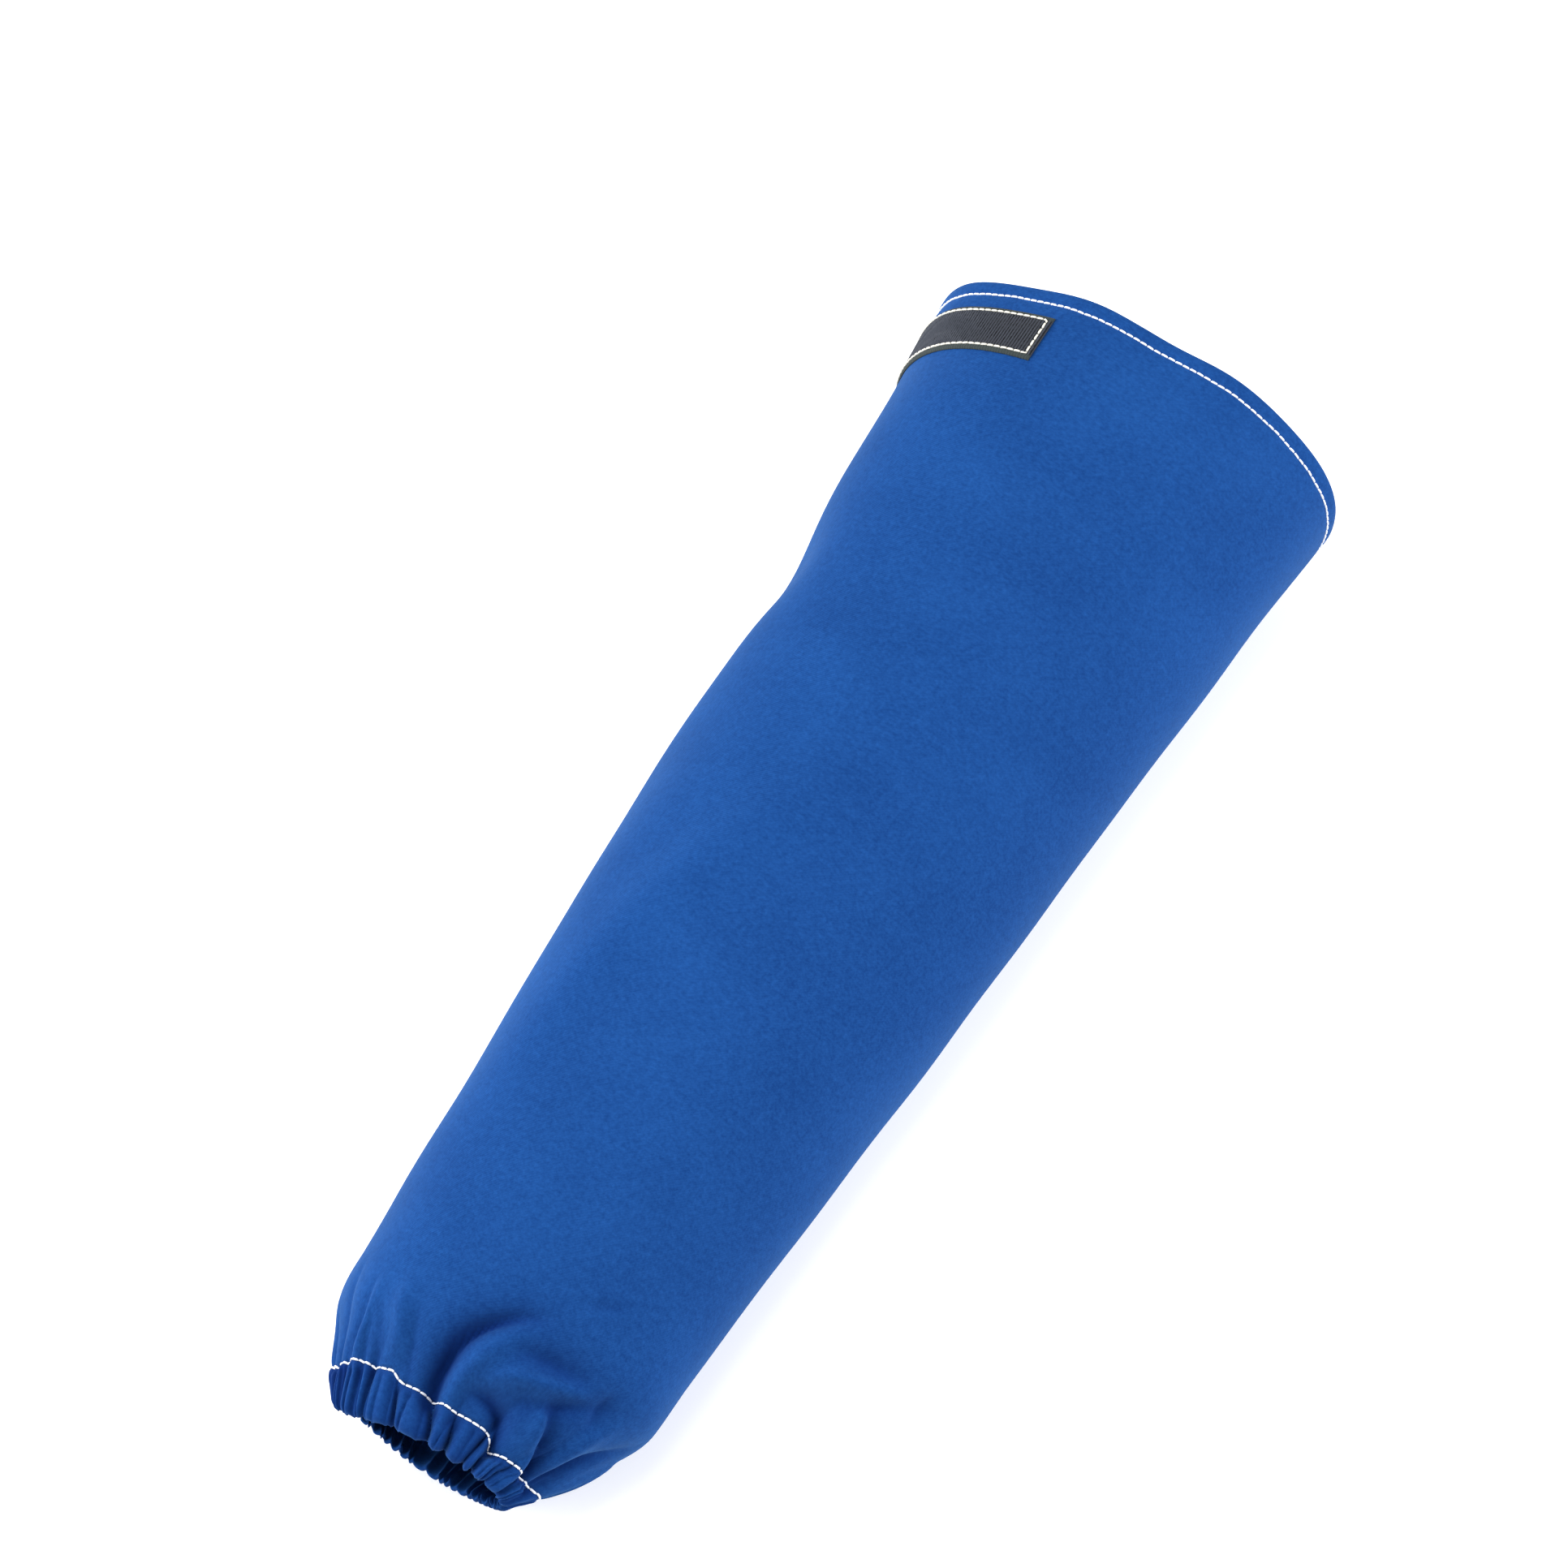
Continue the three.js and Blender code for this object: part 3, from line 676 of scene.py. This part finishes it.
loopValues = {
    "length": 136 * mm,
    "thickness": 1.05 * mm,
    "ribPitch": 1.15 * mm,
    "ribHeight": 0.4 * mm,
    "selvage": 1.9 * mm,
    "selvageDrop": 0.35 * mm,
}

hookValues = {
    "length": 76 * mm,
    "thickness": 1.2 * mm,
    "overlap": 22 * mm,
    "ramp": 8 * mm,
    "cornerRadius": 3 * mm,
}


def wrapTable():
    # arc length round the sleeve's outer face at the strap's middle, from the seam to the left
    middle = strapValues["top"] - strapValues["width"] / 2
    angles = np.linspace(1.5 * math.pi, 0, strapValues["wrapSteps"])
    line = clothPoint(np.full_like(angles, middle), angles)
    arc = np.concatenate([[0], np.cumsum(np.linalg.norm(np.diff(line, axis=0), axis=1))])
    return arc, angles


wrapArc, wrapAngles = wrapTable()
loopLow = hookValues["length"] - hookValues["overlap"]
loopHigh = loopLow + loopValues["length"]


def onSleeve(arc, distance, height):
    # a point over the cloth, from its arc round the sleeve and its distance up it
    angle = np.interp(arc, wrapArc, wrapAngles)
    relief = clothRelief(distance, angle) + hemRelief(distance)
    return clothPoint(distance, angle, height, relief)


def meshPoints(piece):
    flat = np.empty(len(piece.data.vertices) * 3)
    piece.data.vertices.foreach_get("co", flat)
    return flat.reshape(-1, 3)


def setMeshPoints(piece, points):
    piece.data.vertices.foreach_set("co", points.reshape(-1))
    piece.data.update()


def flatTape(name, length, across, lengthwise):
    # a flat grid with x along the tape and y across it
    deselectAll()
    bpy.ops.mesh.primitive_grid_add(x_subdivisions=lengthwise, y_subdivisions=across, size=1)
    tape = bpy.context.object
    tape.name = name
    tape.data.name = name
    bpy.ops.object.mode_set(mode="EDIT")
    bpy.ops.mesh.select_all(action="SELECT")
    bpy.ops.transform.resize(value=(length, strapValues["width"], 1))
    bpy.ops.transform.translate(value=(length / 2, 0, 0))
    bpy.ops.object.mode_set(mode="OBJECT")
    return tape


def edgeDrop(points, length, rimWidth, drop):
    # lets the tape's rim fall towards the cloth
    toSide = strapValues["width"] / 2 - np.abs(points[:, 1])
    toEdge = np.minimum(np.minimum(points[:, 0], length - points[:, 0]), toSide)
    share = np.clip(toEdge / rimWidth, 0, 1)
    return drop * (1 - np.sqrt(1 - (1 - share) ** 2))


def layTape(tape, points, arc, floorHeight):
    # keeps the flat tape as its UV map, then lays its face and its underside round the sleeve
    loopVertex = np.empty(len(tape.data.loops), int)
    tape.data.loops.foreach_get("vertex_index", loopVertex)
    tape.data.uv_layers[0].data.foreach_set("uv", points[loopVertex, :2].reshape(-1))
    distance = strapValues["top"] - strapValues["width"] / 2 + points[:, 1]
    setMeshPoints(tape, onSleeve(arc, distance, floorHeight + points[:, 2]))
    closeTape(tape, onSleeve(arc, distance, floorHeight))
    return tape


def makeLoopStrip():
    values = loopValues
    ribs = round(values["length"] / values["ribPitch"])
    tape = flatTape("loop_tape", values["length"], 40, ribs * 4)
    points = meshPoints(tape)
    fromSide = strapValues["width"] / 2 - np.abs(points[:, 1])
    pile = smoothStep(values["selvage"] * 0.7, values["selvage"] * 1.2, fromSide)
    wobble = 0.35 * np.sin(points[:, 1] / (1.7 * mm) + 3 * np.sin(points[:, 0] / (9 * mm)))
    rib = np.cos(points[:, 0] / values["ribPitch"] * 2 * math.pi + wobble)
    height = values["thickness"] - values["selvageDrop"] * (1 - pile)
    height = height + values["ribHeight"] * (0.5 * rib - 0.5) * (0.2 + 0.8 * pile)
    points[:, 2] = height - edgeDrop(points, values["length"], 0.5 * mm, 0.45 * mm)
    return layTape(tape, points, loopHigh - points[:, 0], np.full(len(points), strapValues["gap"]))


def closeTape(tape, base):
    # gives a laid tape its underside and its cut edges
    count = len(tape.data.vertices)
    thicken(tape, 0.4 * mm)
    points = meshPoints(tape)
    points[count:count * 2] = base
    setMeshPoints(tape, points)
    bpy.ops.object.mode_set(mode="EDIT")
    bpy.ops.mesh.select_all(action="SELECT")
    bpy.ops.mesh.normals_make_consistent(inside=False)
    bpy.ops.object.mode_set(mode="OBJECT")
    bpy.ops.object.shade_smooth_by_angle(angle=math.radians(50))


def hookHeight(arc):
    # the tab steps up onto the loop strip's end
    step = smoothStep(loopLow - hookValues["ramp"], loopLow - 1 * mm, arc)
    return strapValues["gap"] + (loopValues["thickness"] + strapValues["gap"]) * step


def makeHookTab():
    values = hookValues
    tape = flatTape("hook_tape", values["length"], 26, 120)
    points = meshPoints(tape)
    # rounded free corners at the tab's end
    radius = values["cornerRadius"]
    inX = np.clip(points[:, 0] - (values["length"] - radius), 0, None)
    inY = np.clip(np.abs(points[:, 1]) - (strapValues["width"] / 2 - radius), 0, None)
    reach = np.hypot(inX, inY)
    scale = np.where((inX > 0) & (inY > 0), np.maximum(inX, inY) / np.maximum(reach, 1e-9), 1)
    points[:, 0] -= inX * (1 - scale)
    points[:, 1] -= np.sign(points[:, 1]) * inY * (1 - scale)
    # the rim falls at the sides and at the seam, and the free end keeps its height
    points[:, 2] = values["thickness"] - edgeDrop(points, values["length"] + 1, 0.4 * mm, 0.3 * mm)
    return layTape(tape, points, points[:, 0], hookHeight(points[:, 0]))


loopTape = makeLoopStrip()
hookTape = makeHookTab()
print("tapes", len(loopTape.data.polygons), len(hookTape.data.polygons))

# thread: one stitch is modelled once and copied along each row
threadValues = {
    "radius": 0.4 * mm,
    "length": 2.7 * mm,
    "gap": 0.12 * mm,
    "sink": 0.25 * mm,
    "strapInset": 2.0 * mm,
    "loopSink": 0.2 * mm,
    "tabSink": 0.75 * mm,
    "samples": 1600,
    # the rounded ends: share of the length, drop in radii, size
    "tips": ((0.16, 0.25, 0.86), (0.1, 0.6, 0.55)),
}


def makeStitch():
    values = threadValues
    deselectAll()
    bpy.ops.mesh.primitive_cylinder_add(
        vertices=7, radius=values["radius"], depth=values["length"] * 0.5, end_fill_type="NGON")
    stitch = bpy.context.object
    stitch.name = "stitch"
    bpy.ops.object.mode_set(mode="EDIT")
    bpy.ops.mesh.select_all(action="SELECT")
    bpy.ops.transform.rotate(value=math.pi / 2, orient_axis="Y", center_override=(0, 0, 0))
    for side in (-1, 1):
        for share, drop, size in values["tips"]:
            bpy.ops.mesh.select_all(action="DESELECT")
            bpy.ops.object.mode_set(mode="OBJECT")
            ends = [face for face in stitch.data.polygons if face.normal.x * side > 0.6]
            furthest = max(ends, key=lambda face: face.center.x * side)
            furthest.select = True
            bpy.ops.object.mode_set(mode="EDIT")
            bpy.ops.mesh.select_mode(type="FACE")
            bpy.ops.mesh.extrude_region_move(TRANSFORM_OT_translate={
                "value": (side * values["length"] * share, 0, -values["radius"] * drop)})
            bpy.ops.transform.resize(value=(size, size, size))
    bpy.ops.object.mode_set(mode="OBJECT")
    for vertex in stitch.data.vertices:
        vertex.select = True
    return stitch


stitchModel = makeStitch()


def stitchRow(name, path, normals, closed, lift=0.0):
    # copies of the stitch end to end along a path, each bent to follow it
    values = threadValues
    if closed:
        path, normals = np.concatenate([path, path[:1]]), np.concatenate([normals, normals[:1]])
    arc = np.concatenate([[0], np.cumsum(np.linalg.norm(np.diff(path, axis=0), axis=1))])
    count = max(round(arc[-1] / (values["length"] + values["gap"])), 1)
    pitch = arc[-1] / count
    model = meshPoints(stitchModel)
    model[:, 0] *= (pitch - values["gap"]) / (model[:, 0].max() - model[:, 0].min())
    draw = random.Random(count)
    swing = np.array([draw.uniform(-0.08, 0.08) for _ in range(count)])
    middle = (np.arange(count) + 0.5) * pitch
    at = np.clip(middle[:, None] + model[None, :, 0], 0, arc[-1]).ravel()

    def along(rows):
        return np.stack([np.interp(at, arc, rows[:, k]) for k in range(3)], -1)

    tangents = np.gradient(path, arc, axis=0)
    base, out, forward = along(path), along(normals), along(tangents)
    side = np.cross(out, forward)
    side /= np.linalg.norm(side, axis=1, keepdims=True)
    across = (model[None, :, 1] + swing[:, None] * model[None, :, 0]).ravel()[:, None]
    rise = np.tile(model[:, 2] + values["radius"] - values["sink"] + lift, count)[:, None]
    points = base + side * across + out * rise
    # by their vertices, because the extruded faces come in no fixed order
    shape = sorted((list(face.vertices) for face in stitchModel.data.polygons), key=sorted)
    faces = [[v + i * len(model) for v in face] for i in range(count) for face in shape]
    mesh = bpy.data.meshes.new(name)
    mesh.from_pydata(points.tolist(), [], faces)
    mesh.update()
    row = bpy.data.objects.new(name, mesh)
    bpy.context.scene.collection.objects.link(row)
    makeActive(row)
    bpy.ops.object.shade_smooth()
    return row


def ringPath(distance, wobble):
    angles = clothAngles(threadValues["samples"])
    wander = wobble * (np.sin(angles * 9 + 1) + 0.6 * np.sin(angles * 23 + 2) + 0.4 * np.sin(angles * 41))
    down = distance + wander
    relief = clothRelief(down, angles) + hemRelief(down)
    return clothPoint(down, angles, np.zeros_like(angles), relief), outwardVector(down, angles)


hemPath, hemNormals = ringPath(sleeveLength - clothValues["hemStitch"], 0.14 * mm)
hemThread = stitchRow("hem_thread", hemPath, hemNormals, True)
innerAngles = clothAngles(threadValues["samples"])
innerDistances = np.full_like(innerAngles, sleeveLength - clothValues["hemStitch"])
innerPath = clothPoint(innerDistances, innerAngles, np.full_like(innerAngles, -clothValues["hemGap"]))
innerThread = stitchRow("hem_thread_inside", innerPath, -hemNormals, True)
wristPath, wristNormals = ringPath(sleeveForm["casingDepth"], 0.16 * mm)
wristThread = stitchRow("wrist_thread", wristPath, wristNormals, True, 0.1 * mm)


def strapThread(name, corners, height, samples=260):
    # straight runs between corners given as arc along the wrap and distance up the sleeve
    arcs, distances = [], []
    for (arcA, distanceA), (arcB, distanceB) in zip(corners, corners[1:]):
        arcs.append(np.linspace(arcA, arcB, samples, endpoint=False))
        distances.append(np.linspace(distanceA, distanceB, samples, endpoint=False))
    arc, distance = np.concatenate(arcs), np.concatenate(distances)
    normals = outwardVector(distance, np.interp(arc, wrapArc, wrapAngles))
    return stitchRow(name, onSleeve(arc, distance, np.full_like(arc, height)), normals, False)


threadTop = strapValues["top"] - threadValues["strapInset"]
threadBottom = strapValues["top"] - strapValues["width"] + threadValues["strapInset"]
loopStart, loopStop = loopLow + 1 * mm, loopHigh - threadValues["strapInset"]
tapeThread = strapThread(
    "tape_thread",
    [(loopStart, threadTop), (loopStop, threadTop), (loopStop, threadBottom), (loopStart, threadBottom)],
    strapValues["gap"] + loopValues["thickness"] - threadValues["loopSink"])
tabThread = strapThread(
    "tab_thread", [(3 * mm, threadTop), (3 * mm, threadBottom)],
    strapValues["gap"] + hookValues["thickness"] - threadValues["tabSink"])
bpy.data.objects.remove(stitchModel)
print("threads")


# materials
finishValues = {
    "clothDark": (0.0020, 0.0318, 0.149, 1),
    "clothLight": (0.0072, 0.0582, 0.230, 1),
    # painted shade: the dark blue that the cloth is painted towards deep in folds, gathers and the casing
    "clothFoldShade": (0.0, 0.0120, 0.100, 1),
    "clothFoldShadeShare": 0.85,
    "clothUneven": 0.55,
    "clothSheen": 0.15,
    "clothSheenTint": (0.18, 0.54, 1.0, 1),
    "tapeDarkAndRibShade": (0.001, 0.0015, 0.003, 1),
    "tapeLight": (0.044, 0.050, 0.066, 1),
    "tapeEdge": (0.026, 0.035, 0.036, 1),
    "hookTone": (0.030, 0.034, 0.036, 1),
    "threadWhite": (0.82, 0.85, 0.92, 1),
    "threadCream": (0.72, 0.70, 0.62, 1),
}


def newGroup(name, inputs, outputs):
    group = bpy.data.node_groups.new(name, "ShaderNodeTree")
    for label, kind, value in inputs:
        socket = group.interface.new_socket(name=label, in_out="INPUT", socket_type=kind)
        if value is not None:
            socket.default_value = value
    for label, kind in outputs:
        group.interface.new_socket(name=label, in_out="OUTPUT", socket_type=kind)
    return group, group.nodes.new("NodeGroupInput"), group.nodes.new("NodeGroupOutput")


def fill(tree, node, inputs):
    # each input takes a value, or a link from the socket that is given
    for key, value in inputs.items():
        if isinstance(value, bpy.types.NodeSocket):
            tree.links.new(value, node.inputs[key])
        else:
            node.inputs[key].default_value = value


def addNode(tree, kind, inputs, **settings):
    node = tree.nodes.new("ShaderNode" + kind)
    for key, value in settings.items():
        setattr(node, key, value)
    fill(tree, node, inputs)
    return node


def addMath(tree, operation, *inputs):
    return addNode(tree, "Math", dict(enumerate(inputs)), operation=operation).outputs[0]


def addMix(tree, factor, first, second):
    # inputs 6 and 7 and output 2 are a mix node's colours
    return addNode(tree, "Mix", {"Factor": factor, 6: first, 7: second}, data_type="RGBA").outputs[2]


def addRamp(tree, factor, low, lowColour, high, highColour):
    ramp = addNode(tree, "ValToRGB", {"Fac": factor})
    for element, place, colour in zip(ramp.color_ramp.elements, (low, high), (lowColour, highColour)):
        element.position = place
        element.color = colour
    return ramp.outputs["Color"]


def addBump(tree, shader, height, strength, distance):
    bump = addNode(tree, "Bump", {"Height": height, "Strength": strength, "Distance": distance})
    fill(tree, shader, {"Normal": bump.outputs["Normal"]})


def makeTwillGroup():
    # fine diagonal weave with uneven yarn, in metres on the piece's own UV map
    group, given, result = newGroup(
        "twillWeave",
        [("UV", "NodeSocketVector", None), ("Yarns per metre", "NodeSocketFloat", 1700.0)],
        [("Height", "NodeSocketFloat"), ("Fleck", "NodeSocketFloat")])
    scaled = addNode(
        group, "VectorMath", {0: given.outputs["UV"], "Scale": given.outputs["Yarns per metre"]},
        operation="SCALE").outputs[0]
    wave = addNode(
        group, "TexWave", {
            "Vector": scaled, "Scale": 0.32, "Distortion": 1.4, "Detail": 2, "Detail Scale": 1.5},
        wave_type="BANDS", bands_direction="DIAGONAL").outputs["Fac"]
    slub = addNode(
        group, "TexNoise", {"Vector": scaled, "Scale": 0.55, "Detail": 4, "Roughness": 0.65}).outputs["Fac"]
    fill(group, result, {"Height": addMath(group, "MULTIPLY_ADD", wave, 0.55, slub), "Fleck": slub})
    return group


def makeUnevenGroup():
    # broad and middling unevenness of tone, on object coordinates
    group, given, result = newGroup(
        "unevenTone", [("Vector", "NodeSocketVector", None), ("Strength", "NodeSocketFloat", 0.2)],
        [("Tone", "NodeSocketFloat")])
    broad, fine = (
        addNode(group, "TexNoise", {"Vector": given.outputs["Vector"], "Scale": scale, "Detail": 3})
        for scale in (22, 420))
    both = addMath(group, "ADD", broad.outputs["Fac"], fine.outputs["Fac"])
    centred = addMath(group, "SUBTRACT", both, 1.0)
    fill(group, result, {"Tone": addMath(group, "MULTIPLY", centred, given.outputs["Strength"])})
    return group


twillGroup = makeTwillGroup()
unevenGroup = makeUnevenGroup()


def newMaterial(name):
    material = bpy.data.materials.new(name)
    material.use_nodes = True
    tree = material.node_tree
    return material, tree, tree.nodes["Principled BSDF"], tree.nodes.new("ShaderNodeTexCoord").outputs


def makeClothMaterial():
    material, tree, shader, coordinates = newMaterial("blueTwill")
    twill = addNode(tree, "Group", {"UV": coordinates["UV"]}, node_tree=twillGroup)
    uneven = addNode(
        tree, "Group", {"Vector": coordinates["Object"], "Strength": finishValues["clothUneven"]},
        node_tree=unevenGroup)
    tone = addMath(tree, "ADD", twill.outputs["Fleck"], uneven.outputs["Tone"])
    colour = addRamp(tree, tone, 0.25, finishValues["clothDark"], 0.8, finishValues["clothLight"])
    # painted shade: the base colour is mixed towards the fold-shade colour by how deep the point lies in a
    # fold
    foldShade = addNode(tree, "Attribute", {}, attribute_name="foldShade").outputs["Fac"]
    depth = addMath(tree, "MULTIPLY", foldShade, finishValues["clothFoldShadeShare"])
    addBump(tree, shader, twill.outputs["Height"], 0.35, 0.12 * mm)
    fill(tree, shader, {
        "Base Color": addMix(tree, depth, colour, finishValues["clothFoldShade"]),
        "Roughness": 0.9, "Specular IOR Level": 0.1, "Sheen Weight": finishValues["clothSheen"],
        "Sheen Roughness": 0.46, "Sheen Tint": finishValues["clothSheenTint"]})
    return material


def makeTapeMaterial():
    # cross ribs of looped pile between smooth selvages, in metres on the tape's own UV map; the ribs' grooves
    # are painted darker as painted shade, and the pile noise is the tape's own uneven tone
    material, tree, shader, coordinates = newMaterial("loopPile")
    parts = addNode(tree, "SeparateXYZ", {0: coordinates["UV"]}).outputs
    pile = addNode(tree, "TexNoise", {"Vector": coordinates["UV"], "Scale": 800, "Detail": 3}).outputs["Fac"]
    turns = addMath(tree, "MULTIPLY", parts["X"], 2 * math.pi / loopValues["ribPitch"])
    # painted shade: the colour follows the ribs, darkest in the grooves between them and lightest on their
    # crests
    wave = addMath(tree, "COSINE", addMath(tree, "MULTIPLY_ADD", pile, 2.2, turns))
    tone = addMath(tree, "MULTIPLY_ADD", pile, 0.8, addMath(tree, "MULTIPLY_ADD", wave, 0.42, 0.26))
    colour = addRamp(tree, tone, 0.36, finishValues["tapeDarkAndRibShade"], 1.0, finishValues["tapeLight"])
    edge = addNode(tree, "MapRange", {
        "Value": addMath(tree, "ABSOLUTE", parts["Y"]),
        "From Min": strapValues["width"] / 2 - loopValues["selvage"] * 1.15,
        "From Max": strapValues["width"] / 2 - loopValues["selvage"] * 0.8})
    addBump(tree, shader, tone, 0.6, 0.2 * mm)
    fill(tree, shader, {
        "Base Color": addMix(tree, edge.outputs["Result"], colour, finishValues["tapeEdge"]),
        "Roughness": 0.85, "Specular IOR Level": 0.2, "Sheen Weight": 0.05})
    return material


def makeHookMaterial():
    material, tree, shader, coordinates = newMaterial("hookTapeBack")
    twill = addNode(
        tree, "Group", {"UV": coordinates["UV"], "Yarns per metre": 2200}, node_tree=twillGroup)
    fleck = twill.outputs["Fleck"]
    addBump(tree, shader, twill.outputs["Height"], 0.4, 0.15 * mm)
    fill(tree, shader, {
        "Base Color": addRamp(tree, fleck, 0.2, finishValues["tapeDarkAndRibShade"], 0.8, finishValues["hookTone"]),
        "Roughness": 0.6})
    return material


def makeThreadMaterial(name, colour):
    material, tree, shader, coordinates = newMaterial(name)
    uneven = addNode(
        tree, "Group", {"Vector": coordinates["Object"], "Strength": 0.25}, node_tree=unevenGroup)
    tone = addMath(tree, "ADD", uneven.outputs["Tone"], 0.15)
    shade = [part * 0.8 for part in colour[:3]] + [1]
    fill(tree, shader, {
        "Base Color": addRamp(tree, tone, 0.0, shade, 0.25, colour), "Roughness": 0.55, "Sheen Weight": 0.2})
    return material


clothMaterial = makeClothMaterial()
tapeMaterial = makeTapeMaterial()
hookMaterial = makeHookMaterial()
whiteThread = makeThreadMaterial("whiteThread", finishValues["threadWhite"])
creamThread = makeThreadMaterial("creamThread", finishValues["threadCream"])

for piece, material, slot in (
    (sleeveCloth, clothMaterial, "cloth"),
    (wristCloth, clothMaterial, "cloth"),
    (loopTape, tapeMaterial, "loop_tape"),
    (hookTape, hookMaterial, "hook_tape"),
    (hemThread, whiteThread, "cloth"),
    (innerThread, whiteThread, "cloth"),
    (wristThread, whiteThread, "cloth"),
    (tapeThread, creamThread, "loop_tape"),
    (tabThread, creamThread, "hook_tape"),
):
    piece.data.materials.clear()
    piece.data.materials.append(material)
    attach(piece, "root")

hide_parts("sleeve_tube", "upper_hem")
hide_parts("wrist_casing")
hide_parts("loop_strip")
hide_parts("hook_tab")

print("pieces ride on the frame")

# floor, light and camera
stageValues = {
    "floorSize": 12.0,
    "cameraElevation": 60.0,
    "cameraTurn": 31.0,
    "cameraDistance": 1497.3 * mm,
    "cameraTarget": (0.0, 0.0, 40.4 * mm),
    "aimRight": -5.8 * mm,
    "aimUp": 41.7 * mm,
    "lens": 101.67,
    "sensor": 36.0,
    "lightSize": 1.2,
    "worldStrength": 0.42,
}

# metres from the camera's target to the right, up and back, then watts and colour
lightRows = {
    "keyLight": ((-0.3, 0.95, 1.15), 16.5, (1, 0.98, 0.95)),
    "fillLight": ((1.3, 0.1, 0.7), 27, (0.97, 0.98, 1)),
    "sideLight": ((-1.4, 0.45, 0.5), 34, (0.98, 0.99, 1)),
}


def makeFloor():
    deselectAll()
    bpy.ops.mesh.primitive_plane_add(size=stageValues["floorSize"])
    floor = bpy.context.object
    floor.name = "floor"
    material, tree, shader, _ = newMaterial("paleFloor")
    fill(tree, shader, {
        "Base Color": (0.92, 0.92, 0.92, 1), "Roughness": 0.9, "Specular IOR Level": 0.1,
        "Emission Color": (1, 1, 1, 1), "Emission Strength": 0.28})
    floor.data.materials.append(material)


def aimed(data, place, target, **settings):
    for key, value in settings.items():
        setattr(data, key, value)
    item = bpy.data.objects.new(data.name, data)
    bpy.context.scene.collection.objects.link(item)
    item.location = place
    item.rotation_euler = (Vector(target) - Vector(place)).to_track_quat("-Z", "Y").to_euler()
    return item


makeFloor()
elevation, cameraTurn = (math.radians(stageValues[key]) for key in ("cameraElevation", "cameraTurn"))
back = Vector((
    math.sin(cameraTurn) * math.cos(elevation), -math.cos(cameraTurn) * math.cos(elevation),
    math.sin(elevation)))
right = Vector((math.cos(cameraTurn), math.sin(cameraTurn), 0))
up = back.cross(right)
target = Vector(stageValues["cameraTarget"])
aim = target + right * stageValues["aimRight"] + up * stageValues["aimUp"]
camera = aimed(
    bpy.data.cameras.new("camera"), target + back * stageValues["cameraDistance"], aim,
    lens=stageValues["lens"], sensor_width=stageValues["sensor"])
bpy.context.scene.camera = camera

for name, (shares, watts, colour) in lightRows.items():
    place = target + right * shares[0] + up * shares[1] + back * shares[2]
    aimed(
        bpy.data.lights.new(name, "AREA"), place, target,
        energy=watts, size=stageValues["lightSize"], color=colour)

world = bpy.data.worlds.new("softRoom")
bpy.context.scene.world = world
world.use_nodes = True
fill(world.node_tree, world.node_tree.nodes["Background"], {
    "Color": (1, 1, 1, 1), "Strength": stageValues["worldStrength"]})
bpy.context.scene.view_settings.view_transform = "Standard"
print("stage")
